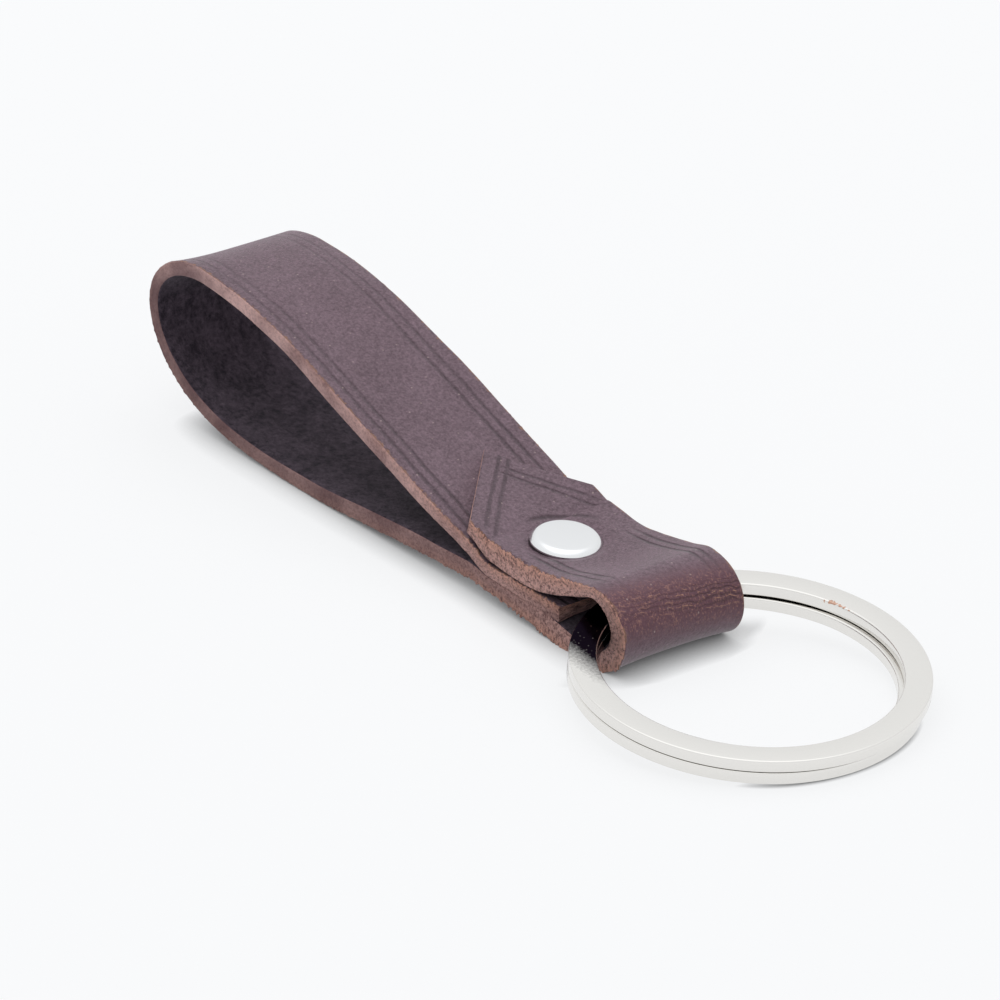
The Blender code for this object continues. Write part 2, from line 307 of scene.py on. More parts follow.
@dataclass(frozen=True)
class GrainLeather:
    """Vegetable-tanned leather, grain side: dyed dark brown, waxed and pressed, creased along its edges."""
    brown: str = "#927A86"
    dark_brown: str = "#46313A"
    bend_red: str = "#673F4A"
    fibre_orange: str = "#DDA58E"
    shaded_valley: str = "#34191E"
    crease_shade: str = "#1E1318"
    bare_edge: str = "#96705F"
    dust: str = "#C9B3AE"
    roughness: float = 0.42
    crease_half_width: float = 0.3 * MM
    bend_slant: float = 0.09
    wrinkle_spacing: float = 0.4 * MM
    rim_bite: float = 3.17 * MM

    def make(self, bend: tuple[float, float], half_width: float, creases: list[CreasePair],
             pressed: tuple[Vector, float]) -> Material:
        """Build the material.

        Args:
            bend: Where the stretched band over the eye starts and ends along the strap, in metres.
            half_width: Half of the strap's width.
            creases: The creasing tool's grooves.
            pressed: The middle and the radius of the groove that the rivet's setting tool left.

        Returns:
            The material.
        """
        made, tree, shader = new_material("vegetable_tanned_leather_grain", {
            "Specular IOR Level": 0.3, "Sheen Weight": 0.03, "Sheen Roughness": 0.5})
        node = partial(add, tree)
        carried = node("Attribute", out="Vector", attribute_name="flat_place")
        along, across, _ = node("SeparateXYZ", (carried,)).node.outputs
        clouds, grain, pores, waves, lengths, tears = (
            node("TexNoise", {
                "Vector": flat_place(tree, stretch), "Scale": 1.0, "Detail": detail, "Roughness": rough})
            for stretch, detail, rough in (
                # Dye takes unevenly over some 8 mm: soft lighter and darker clouds
                ((0.12, 0.16, 0.1), 3.0, 0.5),
                # Hair pores and fine pebbles stand 0.15 mm apart and are drawn at 0.25 mm, so that they show
                ((4.2, 4.2, 1.0), 4.0, 0.7),
                # Pores that the bend opens, 0.15 mm apart
                ((6.5, 6.5, 1.0), 2.0, 0.6),
                # The wrinkles wave over 1 to 2 mm and are broken into stretches of some 2 mm
                ((0.8, 0.5, 1.0), 2.0, 0.5), ((2.8, 0.9, 1.0), 3.0, 0.6),
                # Tears at the grain's rim, some 0.5 mm long
                ((1.8, 1.8, 1.0), 4.0, 0.7)))
        mixed = node("Math", (clouds, 0.2, grain), operation="MULTIPLY_ADD")
        dyed = node("MapRange", (mixed, 0.36, 0.84))
        # The bend over the eye stretches the grain: it turns red, and paler fibre opens in its pores
        middle, reach = (bend[0] + bend[1]) / 2, (bend[1] - bend[0]) / 2
        off = node("Math", (across, -self.bend_slant, along), operation="MULTIPLY_ADD")
        from_middle = node("Math", (off, middle), operation="SUBTRACT")
        size = node("Math", (from_middle,), operation="ABSOLUTE")
        stretched, fine_band, band = (
            node("MapRange", (size, reach * first, reach * last, full, 0.0), interpolation_type="SMOOTHSTEP")
            for first, last, full in ((0.8, 4.2, 0.8), (0.8, 3.0, 1.0), (0.3, 1.45, 1.0)))
        pebble = node("MapRange", (pores, 0.52, 0.68, 0.0, 0.35))
        opened = node("Math", (pebble, fine_band), operation="MULTIPLY")
        # Wrinkles run across the strap side by side, most of all on its far half
        wave = node("Math", (waves, 2.6), operation="MULTIPLY")
        turns = node("Math", (off, 1 / self.wrinkle_spacing, wave), operation="MULTIPLY_ADD")
        wrinkle = node("Math", (turns, 0.5), operation="PINGPONG")
        farther = node("MapRange", (across, -half_width, half_width * 0.5, 0.25, 1.0))
        strength = node("Math", (band, farther), operation="MULTIPLY")
        ridge, kept = node("MapRange", (wrinkle, 0.36, 0.47)), node("MapRange", (lengths, 0.52, 0.6))
        broken = node("Math", (ridge, kept), operation="MULTIPLY")
        open_fibre = node("Math", (broken, strength), operation="MULTIPLY")
        # Painted shade darkens each wrinkle's valley, which also sinks in the bump
        shaded_valley = node("MapRange", (wrinkle, 0.05, 0.25, 0.5, 0.0))
        deep = node("Math", (shaded_valley, strength), operation="MULTIPLY")
        groove = self.grooves(tree, carried, creases, pressed)
        # Painted shade darkens every groove: the creases, the setting tool's arc and the leather against the cap's
        # rim
        dark = node("Math", (groove, 0.58), operation="MULTIPLY")
        # The blade tears the grain's rim a little, so undyed fibre shows in a ragged line
        side = node("Math", (across,), operation="ABSOLUTE")
        torn_side = node("Math", (tears, 1.3 * MM, side), operation="MULTIPLY_ADD")
        torn = node("MapRange", (torn_side, half_width + 0.48 * MM, half_width + 0.64 * MM))
        # Dust and loose fibre: a few light specks 0.15 mm wide
        specks = node("TexVoronoi", {"Vector": flat_place(tree, (0.4, 0.4, 0.4)), "Scale": 1.0},
                      voronoi_dimensions="2D")
        near = node("MapRange", (specks, 0.016, 0.042, 0.7, 0.0))
        chance = node("SeparateXYZ", (specks.node.outputs["Color"],))
        speck = node("Math", (near, chance), operation="MULTIPLY")
        colour = linear(self.dark_brown)
        for share, code in (
                (dyed, self.brown), (stretched, self.bend_red), (opened, self.fibre_orange),
                (open_fibre, self.fibre_orange), (deep, self.shaded_valley), (dark, self.crease_shade),
                (torn, self.bare_edge), (speck, self.dust)):
            colour = node("Mix", {0: share, 6: colour, 7: linear(code)}, **COLOUR_MIX)
        height = node("Math", (open_fibre, deep), operation="SUBTRACT")
        fine = node("Bump", {"Height": grain, "Distance": 0.13 * MM, "Strength": 1.0})
        grooved = node("Bump", {
            "Height": groove, "Distance": 0.14 * MM, "Strength": 1.0, "Normal": fine}, invert=True)
        connect(shader, {
            "Base Color": colour,
            "Roughness": node("MapRange", (grain, 0.3, 0.7, self.roughness - 0.05, self.roughness + 0.08)),
            "Normal": node("Bump", {"Height": height, "Distance": 0.12 * MM, "Strength": 1.0, "Normal": grooved})})
        return made

    def grooves(self, tree: NodeTree, place: NodeSocket, creases: list[CreasePair],
                pressed: tuple[Vector, float]) -> NodeSocket:
        """Depth of all grooves, from 0 to 1.

        Args:
            tree: The node tree.
            place: The place on the flat leather.
            creases: The creasing tool's grooves.
            pressed: The middle and the radius of the round groove behind the rivet.

        Returns:
            A value socket.
        """
        node = partial(add, tree)
        # The tool is led by hand: its lines wander by 0.1 mm over some 5 mm
        drift = node("TexNoise", {"Vector": flat_place(tree, (0.2, 0.2, 0.2)), "Scale": 1.0}, "Color")
        shift = node("MapRange", {"Vector": drift, 9: (-0.2 * MM,) * 3, 10: (0.2 * MM,) * 3}, "Vector",
                     data_type="FLOAT_VECTOR")
        wandering = node("VectorMath", (place, shift), operation="ADD")
        depths = []
        for pair in creases:
            point, outward = pair.cut
            off = node("VectorMath", (wandering, outward), "Value", operation="DOT_PRODUCT")
            lines = tuple(self.line(tree, off, point.dot(outward) - inset) for inset in pair.insets)
            both = node("Math", lines, operation="MAXIMUM")
            for direction, none, full in pair.ramps:
                far = node("VectorMath", (place, direction), "Value", operation="DOT_PRODUCT")
                both = node("Math", (both, node("MapRange", (far, none, full))), operation="MULTIPLY")
            depths.append(node("Math", (both, pair.depth), operation="MULTIPLY"))
        # The setting tool's rim shows behind the rivet alone
        middle, radius = pressed
        behind = Vector((-0.85, 0.53, 0))
        away = node("VectorMath", (wandering, middle), "Value", operation="DISTANCE")
        far = node("VectorMath", (place, behind), "Value", operation="DOT_PRODUCT")
        ramp = node("MapRange", (far, middle.dot(behind) + radius * 0.7, middle.dot(behind) + radius * 0.9))
        arc = node("Math", (self.line(tree, away, radius, 1.6), ramp), operation="MULTIPLY")
        # The cap's rim bites into the leather, and painted shadow darkens the leather against it
        beside = node("VectorMath", (place, middle), "Value", operation="DISTANCE")
        bitten = node("Math", (arc, self.line(tree, beside, self.rim_bite, 0.8)), operation="MAXIMUM")
        total = depths[0]
        for depth in depths[1:]:
            total = node("Math", (total, depth), operation="MAXIMUM")
        return node("Math", (total, bitten), operation="MAXIMUM")

    def line(self, tree: NodeTree, off: NodeSocket, at: float,
             wider: float = 1.0) -> NodeSocket:
        """Depth of one groove, from 0 to 1.

        Args:
            tree: The node tree.
            off: A distance on the flat leather.
            at: The distance at which the groove runs.
            wider: How much wider than a crease it is.

        Returns:
            A value socket.
        """
        apart = add(tree, "Math", (off, at), operation="SUBTRACT")
        size = add(tree, "Math", (apart,), operation="ABSOLUTE")
        return add(tree, "MapRange", (size, 0.0, self.crease_half_width * wider, 1.0, 0.0),
                   interpolation_type="SMOOTHSTEP")


@dataclass(frozen=True)
class FleshLeather:
    """Vegetable-tanned leather, flesh side: the raw fuzzy back of the hide, dyed nearly black."""
    dark: str = "#271E29"
    light: str = "#6B5D69"

    def make(self) -> Material:
        """Build the material.

        Returns:
            The material.
        """
        made, tree, shader = new_material("vegetable_tanned_leather_flesh", {
            "Roughness": 0.95, "Specular IOR Level": 0.15, "Sheen Weight": 0.08, "Sheen Roughness": 0.6})
        node = partial(add, tree)
        # Loose fibre ends, 0.3 mm apart, give the flesh side a mottled nap
        nap = node("TexNoise", {
            "Vector": flat_place(tree, (1.9, 2.2, 1.0)), "Scale": 1.0, "Detail": 6.0, "Roughness": 0.7})
        # Handling rubs the nap down in patches some 3 mm wide
        rubbed = node("TexNoise", {"Vector": flat_place(tree, (0.3, 0.35, 0.3)), "Scale": 1.0, "Detail": 2.0})
        tone = node("Math", (rubbed, 0.3, nap), operation="MULTIPLY_ADD")
        share = node("MapRange", (tone, 0.5, 0.9))
        connect(shader, {
            "Base Color": node("Mix", {0: share, 6: linear(self.dark), 7: linear(self.light)}, **COLOUR_MIX),
            "Normal": node("Bump", {"Height": nap, "Distance": 0.15 * MM, "Strength": 1.0})})
        return made


@dataclass(frozen=True)
class CutLeather:
    """Vegetable-tanned leather, cut edge: raw fibre, torn and streaked in the stack, rubbed even elsewhere."""
    orange: str = "#E8B8AF"
    pale: str = "#E0BAB6"
    dull: str = "#907476"
    dark: str = "#4E3032"
    tuft: str = "#E6A78B"

    def make(self) -> Material:
        """Build the material.

        Returns:
            The material.
        """
        made, tree, shader = new_material("vegetable_tanned_leather_cut", {
            "Roughness": 0.88, "Specular IOR Level": 0.2, "Sheen Weight": 0.06, "Sheen Roughness": 0.5})
        node = partial(add, tree)
        # How torn the cut is, and how much darker it is painted: on the bottom run and round the loop's end, and
        # as painted shade at the tail's end inside the eye
        raw, edge_darkening = (node("Attribute", out="Fac", attribute_name=name) for name in ("rawness", "edge_darkening"))
        # Fibre bundles 0.15 mm thick lie along the strap, where the blade tore them
        bundles = node("TexNoise", {
            "Vector": flat_place(tree, (3.4, 1.0, 6.5)), "Scale": 1.0, "Detail": 5.0, "Roughness": 0.75,
            "Distortion": 0.5})
        streak = node("MapRange", (bundles, 0.38, 0.56, 1.0, 0.0))
        torn = node("MapRange", (raw, 0.0, 1.0, 0.25, 0.85))
        streaked = node("Math", (streak, torn), operation="MULTIPLY")
        # Wax and dye lie on the rubbed edge in soft patches 4 mm long
        tone = node("TexNoise", {"Vector": flat_place(tree, (0.25, 0.1, 0.6)), "Scale": 1.0, "Detail": 3.0})
        patch = node("MapRange", (tone, 0.35, 0.65))
        # The grain's rim is torn into undyed tufts, so it is the lightest and most orange part of a raw cut
        carried = node("Attribute", out="Vector", attribute_name="flat_place")
        at_rim = node("MapRange", (node("SeparateXYZ", (carried,), "Z"), -0.1 * MM, 0.45 * MM, 0.0, 0.6))
        raw_rim = node("Math", (at_rim, raw), operation="MULTIPLY")
        unstreaked = node("Math", (1.0, streak), operation="SUBTRACT")
        tufted = node("Math", (raw_rim, unstreaked), operation="MULTIPLY")
        # The cut is darkened where its looks say so, with painted shade at the tail's end inside the eye
        colour = linear(self.dull)
        for share, code in (
                (patch, self.pale), (raw, self.orange), (edge_darkening, self.dark), (streaked, self.dark),
                (tufted, self.tuft)):
            colour = node("Mix", {0: share, 6: colour, 7: linear(code)}, **COLOUR_MIX)
        height = node("Math", (bundles, torn), operation="MULTIPLY")
        connect(shader, {
            "Base Color": colour,
            "Normal": node("Bump", {"Height": height, "Distance": 0.3 * MM, "Strength": 1.0})})
        return made


@dataclass(frozen=True)
class NickelPlate:
    """Nickel plate on steel, tumbled after stamping or winding: a pale warm metal with a satin to bright skin."""
    name: str
    colour: str
    roughness: float
    cloud: float
    skin: float = 0.004 * MM
    wear: Triple | None = None
    copper: str = "#C08A6C"
    eye_and_seam_shade: str = "#100C13"
    open_glance: str = "#FFFFFF"
    shaded_glance: str = "#C4C0C6"
    dust: str = "#B9B4AC"

    def make(self) -> Material:
        """Build the material.

        Returns:
            The material.
        """
        made, tree, shader = new_material(self.name, {"Base Color": linear(self.colour), "Metallic": 1.0})
        node = partial(add, tree)
        place = node("TexCoord", out="Object")
        # Tumbling leaves marks about 0.2 mm wide in the plate
        marks = node("TexNoise", {"Vector": place, "Scale": 4 / MM, "Detail": 4.0, "Roughness": 0.65})
        connect(shader, {
            "Roughness": node("MapRange", (
                marks, 0.3, 0.7, self.roughness - self.cloud, self.roughness + self.cloud)),
            "Normal": node("Bump", {"Height": marks, "Distance": self.skin, "Strength": 0.5})})
        if self.wear:
            self.use_marks(tree, place, marks, shader)
        return made

    def use_marks(self, tree: NodeTree, place: NodeSocket, marks: NodeSocket,
                  shader: Node) -> None:
        """Chips down to the copper undercoat on the inner edge, and painted shade and painted reflection of the
        dark leather on the ring in the eye and in the seam.

        Args:
            tree: The node tree.
            place: The place on the piece.
            marks: The plate's fine noise.
            shader: The shader node.
        """
        node = partial(add, tree)
        wire_place = node("Attribute", out="Vector", attribute_name="wire_place")
        from_inside, from_top, kind = node("SeparateXYZ", (wire_place,)).node.outputs
        along, across, _ = node("SeparateXYZ", (place,)).node.outputs
        # Heights count double, so that the chips stay on the upper turn
        high_place = node("Mapping", {"Vector": place, "Scale": (1, 1, 2)})
        high_wear = (self.wear[0], self.wear[1], self.wear[2] * 2)
        near = node("VectorMath", (high_place, high_wear), "Value", operation="DISTANCE")
        spot = node("MapRange", (near, 0.8 * MM, 3.0 * MM, 0.13, -0.1))
        off_edge = node("Math", (from_inside, from_top), operation="SUBTRACT")
        close = node("MapRange", (off_edge, 0.05 * MM, 0.6 * MM, 0.04, -0.2))
        likely = node("Math", (spot, close), operation="ADD")
        # The chips are some 0.4 mm wide
        chips = node("TexNoise", {"Vector": place, "Scale": 2.4 / MM, "Detail": 4.0})
        total = node("Math", (likely, chips), operation="ADD")
        chip = node("MapRange", (total, 0.64, 0.67, 0.0, 0.8))
        # Painted shade and painted reflection of the dark leather cover the ring in the eye, thin out in specks
        # over some 1.5 mm and leave the inner corners unpainted
        specked = node("Math", (marks, 1.8 * MM, across), operation="MULTIPLY_ADD")
        painted_shade = node("MapRange", (specked, -12.9 * MM, -10.4 * MM))
        for value, full, none in (
                (across, -3.0 * MM, 1.0 * MM), (along, 27.5 * MM, 29.5 * MM), (kind, 0.2, 0.6)):
            left = node("MapRange", (value, full, none, 1.0, 0.0))
            painted_shade = node("Math", (painted_shade, left), operation="MULTIPLY")
        # Painted shade fills the seam, on the underside of the upper turn
        between = node("MapRange", (kind, -0.2, -0.6, 0.0, 0.65))
        painted_shade = node("Math", (painted_shade, between), operation="MAXIMUM")
        # Dust lies over the painted shade in specks under 0.1 mm wide
        specks = node("TexVoronoi", {"Vector": place, "Scale": 2.2 / MM})
        speck = node("MapRange", (specks, 0.06, 0.17, 0.8, 0.0))
        chance = node("SeparateXYZ", (specks.node.outputs["Color"],))
        scattered = node("Math", (speck, chance), operation="MULTIPLY")
        dust = node("Math", (scattered, painted_shade), operation="MULTIPLY")
        colour = linear(self.colour)
        for share, code in ((chip, self.copper), (painted_shade, self.eye_and_seam_shade), (dust, self.dust)):
            colour = node("Mix", {0: share, 6: colour, 7: linear(code)}, **COLOUR_MIX)
        # Where the shade is painted, the glancing reflection is dulled too
        glancing = node("Mix", {0: painted_shade, 6: linear(self.open_glance), 7: linear(self.shaded_glance)}, **COLOUR_MIX)
        connect(shader, {"Base Color": colour, "Specular Tint": glancing})


# Strap

@dataclass(frozen=True)
class Knot:
    """A point on the strap's middle line: back from the hinge, up from the floor, its heading and leather."""
    back: float
    height: float
    heading: float
    leather: float


@dataclass
class FoldLine:
    """Middle line of the folded strap, from its pointed end round the eye and the finger loop to its end."""
    hinge: Vector
    eye_radius: float = 2.45 * MM
    leather_at_point: float = 0.6 * MM
    leather_at_rivet: float = 2.1 * MM
    leather_at_eye: float = 2.05 * MM
    leather_over_eye: float = 1.15 * MM
    leather_under_rivet: float = 1.6 * MM
    leather_at_fingers: float = 1.42 * MM
    leather_on_run: float = 1.55 * MM
    leather_at_tail: float = 1.1 * MM
    layer_gap: float = 0.16 * MM
    bend_pull: float = 0.37
    samples_per_bend: int = 60
    # The eye's circle starts at this angle above the hinge, in degrees, and ends straight below it
    eye_start: float = 110
    eye_samples: int = 121
    tip_spare: float = 1.6 * MM
    # Heights of the three riveted layers, and how far back from the hinge their level stretch ends and starts
    bottom: float = 1.75 * MM
    middle: float = 3.26 * MM
    top: float = 5.02 * MM
    stack_left: float = 14.9 * MM
    stack_right: float = 8.2 * MM
    tail_end: float = 4.696 * MM
    # Slope of the layers under the point, in degrees, and two places on it: back from the hinge and up
    point_slope: float = -18.5
    point_start: tuple[float, float] = (25.26 * MM, 6.85 * MM)
    point_foot: tuple[float, float] = (18.24 * MM, 4.5 * MM)
    places: list[Triple] = field(default_factory=list)
    marks: dict[str, int] = field(default_factory=dict)
    x: np.ndarray = field(init=False)
    z: np.ndarray = field(init=False)
    leather: np.ndarray = field(init=False)
    along: np.ndarray = field(init=False)
    heading: np.ndarray = field(init=False)

    def bend(self, first: Knot, second: Knot) -> list[Triple]:
        """Places (x, z, leather) along a smooth bend from one knot up to the next one.

        Args:
            first: Where the bend starts.
            second: Where it ends.

        Returns:
            The places, without the second knot's own.
        """
        start, end = (Vector((self.hinge.x - k.back, 0, k.height)) for k in (first, second))
        pull = (end - start).length * self.bend_pull
        leave = start + pull * Vector((math.cos(first.heading), 0, math.sin(first.heading)))
        enter = end - pull * Vector((math.cos(second.heading), 0, math.sin(second.heading)))
        points = interpolate_bezier(start, leave, enter, end, self.samples_per_bend + 1)[:-1]
        share = np.linspace(0, 1, self.samples_per_bend, endpoint=False)
        leather = first.leather * (1 - share) + second.leather * share
        return [(p.x, p.z, t) for p, t in zip(points, leather)]

    def run(self, knots: list[Knot]) -> list[Triple]:
        """Places along a row of knots, without the last knot's own."""
        return [place for pair in zip(knots, knots[1:]) for place in self.bend(*pair)]

    def eye(self) -> list[Triple]:
        """Places round the ring eye, whose inside is a circle about the hinge.

        Returns:
            Places (x, z, leather).
        """
        places = []
        for angle in np.radians(np.linspace(self.eye_start, -90, self.eye_samples)):
            swell = math.cos(angle) ** 2 if angle < math.pi / 2 else 0
            thin = self.leather_over_eye if angle > 0 else self.leather_under_rivet
            leather = thin + (self.leather_at_eye - thin) * swell
            radius = self.eye_radius + leather / 2
            places.append((
                self.hinge.x + radius * math.cos(angle), self.hinge.z + radius * math.sin(angle), leather))
        return places

    def lie_on(self, below: list[Triple]) -> list[Triple]:
        """Places of the pointed end, which lies along the layer below it.

        Args:
            below: Places of the layer below, from the point's tip on.

        Returns:
            Places of the pointed end over the same stretch.
        """
        x, z, under = np.array(below).T
        slope = np.arctan2(np.gradient(z), np.gradient(x))
        share = np.linspace(0, 1, len(below), endpoint=False)
        leather = self.leather_at_point * (1 - share) + self.leather_at_rivet * share
        lift = (under + leather) / 2 + self.layer_gap
        return list(zip(x - lift * np.sin(slope), z + lift * np.cos(slope), leather))

    def trace(self) -> None:
        """Lay out the whole line, then its length, heading and leather at every place."""
        slope, spare = math.radians(self.point_slope), self.tip_spare
        layers = {"top": (self.top, 0, self.leather_at_rivet), "middle": (self.middle, 0, self.leather_at_tail),
                  "bottom": (self.bottom, math.pi, self.leather_under_rivet)}
        left = {name: Knot(self.stack_left, *layer) for name, layer in layers.items()}
        right = {name: Knot(self.stack_right, *layer) for name, layer in layers.items()}
        eye = self.eye()
        over = Knot(self.hinge.x - eye[0][0], eye[0][1], math.radians(self.eye_start - 90), eye[0][2])
        under = Knot(self.hinge.x - eye[-1][0], eye[-1][1], math.pi, eye[-1][2])
        back, height = self.point_start
        fingers = self.leather_at_fingers
        tip = Knot(back + spare * math.cos(slope), height - spare * math.sin(slope), slope, fingers)
        below = self.run([tip, Knot(*self.point_foot, slope, fingers), left["middle"]])
        rows = [
            ("tip", self.lie_on(below)),
            ("stack", self.run([left["top"], right["top"]])),
            ("rise", self.bend(right["top"], over)),
            ("eye", eye[:-1]),
            ("bottom", self.run([under, right["bottom"], left["bottom"]])),
            ("loop", self.run([
                left["bottom"],
                Knot(18.2 * MM, 2.2 * MM, math.pi, self.leather_under_rivet),
                Knot(44.5 * MM, 0.8 * MM, math.pi, self.leather_under_rivet),
                Knot(66.4 * MM, 10.1 * MM, math.pi / 2, fingers),
                Knot(58.3 * MM, 15.8 * MM, 0, fingers),
                Knot(38.9 * MM, 11.37 * MM, math.radians(-19.5), self.leather_on_run),
                tip])),
            ("under_point", below),
            ("tail", self.run([left["middle"], Knot(self.tail_end, *layers["middle"])])),
            ("end", [(self.hinge.x - self.tail_end, self.middle, self.leather_at_tail)]),
        ]
        for name, places in rows:
            self.marks[name] = len(self.places)
            self.places += places
        self.x, self.z, self.leather = np.array(self.places).T
        step = np.hypot(np.diff(self.x), np.diff(self.z))
        self.along = np.concatenate([[0], np.cumsum(step)])
        self.heading = np.unwrap(np.arctan2(np.gradient(self.z), np.gradient(self.x)))

    @property
    def length(self) -> float:
        """Length of the whole strap."""
        return float(self.along[-1])

    def mark(self, name: str) -> float:
        """Length along the strap at which a named stretch starts."""
        return float(self.along[self.marks[name]])

    def crossings(self, x: float) -> list[float]:
        """Lengths along the strap at which its three riveted layers cross a place on the X axis.

        Args:
            x: The rivet's place.

        Returns:
            One length each for the top, the bottom and the middle layer.
        """
        found = []
        for first, last in (("stack", "rise"), ("bottom", "loop"), ("tail", "end")):
            part = slice(self.marks[first], self.marks[last] + 1)
            order = np.argsort(self.x[part])
            found.append(float(np.interp(x, self.x[part][order], self.along[part][order])))
        return found


@dataclass
class Strap:
    """The leather strap: cut flat, pointed at one end, punched three times, folded and pressed by the rivet."""
    fold: FoldLine
    rivet: Vector
    width: float = 13.6 * MM
    sheet: float = 1.0 * MM
    row_spacing: float = 0.2 * MM
    strips_across: int = 30
    edge_rows: int = 4
    edge_round: float = 0.1 * MM
    near_point_length: float = 7.0 * MM
    far_point_length: float = 7.45 * MM
    tip_back: float = 1.46 * MM
    tip_aside: float = 1.12 * MM
    hole_radius: float = 1.6 * MM
    dish_radius: float = 3.4 * MM
    dish_reach: float = 1.0 * MM
    dish_depth: float = 0.3 * MM
    # How steeply the curl rises from the strap's middle to its edges
    curl_power: float = 2.5
    near_creases: tuple[float, float] = (1.12 * MM, 2.15 * MM)
    far_creases: tuple[float, float] = (1.6 * MM, 2.7 * MM)
    near_body_creases: tuple[float, float] = (1.65 * MM, 2.65 * MM)
    far_body_creases: tuple[float, float] = (1.25 * MM, 2.2 * MM)
    cut_creases: tuple[float, float] = (1.5 * MM, 2.4 * MM)
    press_ring: float = 5.0 * MM
    ragged: float = 0.15 * MM
    tuft_length: float = 0.34 * MM
    tuft_aside: float = 0.2
    tuft_power: float = 2.2
    tuft_seed: int = 5
    smoothing: float = 1.6 * MM
    smoothing_step: float = 0.1 * MM
    # The band that the bend over the eye stretches, from where the eye starts
    bend_start: float = 3.65 * MM
    bend_end: float = 5.55 * MM
    # Along the strap; how far the near edge's grain and flesh and the far edge's grain and flesh stand off, in mm
    stand_off: tuple[tuple[float, float, float, float, float], ...] = (
        (0, .15, .15, .25, .25), (8, .3, .3, .5, .5), (10, .3, .3, .5, .5), (12, .28, .28, .43, .43),
        (13, .2, .2, .27, .27), (14, .05, .05, .19, .19), (15, .04, .04, 0, 0), (16, -.02, -.02, -.13, -.13),
        (17, -.08, -.08, -.14, -.14), (18, .02, .02, -.1, -.1), (19, .08, .08, .13, .13), (20, .2, .2, .22, .22),
        (21, .28, .28, .33, .33), (22, .22, .22, .3, .3), (23, .22, .22, .25, .25), (24, .13, .13, .15, .15),
        (25, -.05, 0, 0, 0), (26, -.05, 0, .05, 0), (27, -.08, 0, -.08, 0), (28, -.1, 0, -.18, 0),
        (29, -.08, 0, -.2, 0), (30, 0, 0, -.17, 0), (31, .05, .05, -.15, 0), (32, .25, .2, 0, 0),
        (33, .2, .1, .15, .1), (34, .25, .1, .25, .2), (36, .3, 0, .28, .2), (39, .3, 0, 0, 0), (42, .7, 0, 0, 0),
        (45, .6, 0, 0, 0), (48, .2, 0, 0, 0), (51, -.2, -.1, 0, 0), (54, -.2, -.1, 0, 0), (57, .1, 0, 0, 0),
        (60, .15, .1, 0, 0), (63, .15, 0, 0, 0), (72, 0, -.1, 0, 0), (78, 0, 0, 0, 0), (81, -.06, -.05, 0, 0),
        (87, -.15, 0, 0, 0), (93, -.2, -.1, 0, 0), (96, -.3, -.25, 0, 0), (99, -.45, -.4, 0, 0),
        (102, -.6, -.55, 0, 0), (105, -.4, -.4, 0, 0), (108, .12, .12, 0, 0), (111, .35, .4, .1, .1),
        (114, .4, .42, .05, .05), (117, .3, .2, -.27, -.27), (120, 0, 0, -.41, -.41),
        (123, -.1, -.12, -.37, -.37), (126, -.1, -.16, -.32, -.32), (129, -.15, -.17, -.23, -.23),
        (132, 0, 0, -.07, -.07), (135, .05, 0, .03, .03), (138, -.05, -.08, .18, .18), (141, -.05, -.12, .4, .4),
        (144, -.1, -.15, .42, .42), (147, -.08, -.2, .31, .31), (150, -.2, -.25, .24, .24),
        (153, -.3, -.35, .2, .2), (156, -.35, -.28, .2, .2), (159, -.25, -.05, .1, .1), (162, -.1, 0, 0, 0),
        (165, 0, -.1, 0, 0), (170, 0, -.3, 0, 0), (175.5, 0, -.45, 0, 0))
    # Along the strap in mm; how raw the cut edge is there, and how much darker it is painted, as painted shade at
    # the tail's end inside the eye
    cut_looks: tuple[Triple, ...] = (
        (0, .8, .1), (8, 1, .05), (24, 1, 0), (27, .85, 0), (35, .85, 0), (38, 1, .1), (44, 1, .25),
        (52, .75, .45), (62, .35, .5), (80, .2, .55), (98, .1, .65), (110, .1, .55), (118, .1, .1),
        (124, .15, 0), (150, .3, 0), (160, .6, .1), (168, .9, .1), (176, 1, .6))

    def slanted(self, side: int) -> tuple[Vector, Vector]:
        """One of the two slanted cuts of the pointed end.

        Args:
            side: -1 for the near cut and 1 for the far one.

        Returns:
            A point on the cut and the cut's outward direction.
        """
        tip = Vector((self.tip_start, self.tip_aside, 0))
        length = self.near_point_length if side < 0 else self.far_point_length
        foot = Vector((self.fold.tip_spare + length, side * self.width / 2, 0))
        along = (foot - tip).normalized()
        return tip, Vector((-side * along.y, side * along.x, 0))

    @property
    def tip_start(self) -> float:
        """Length along the fold line at which the point's tip lies."""
        return self.fold.tip_spare - self.tip_back

    @property
    def foot(self) -> float:
        """Length along the fold line at which the slanted cuts end."""
        return self.fold.tip_spare + self.far_point_length

    def build(self) -> Object:
        """Cut, punch, fold and dress the strap.

        Returns:
            The strap.
        """
        strap = self.cut_flat()
        self.punch(strap)
        self.carry_marks(strap)
        self.fold_up(strap)
        self.dress(strap)
        hand_over(strap, Body.STRAP, Slot.LEATHER, "strap")
        return strap

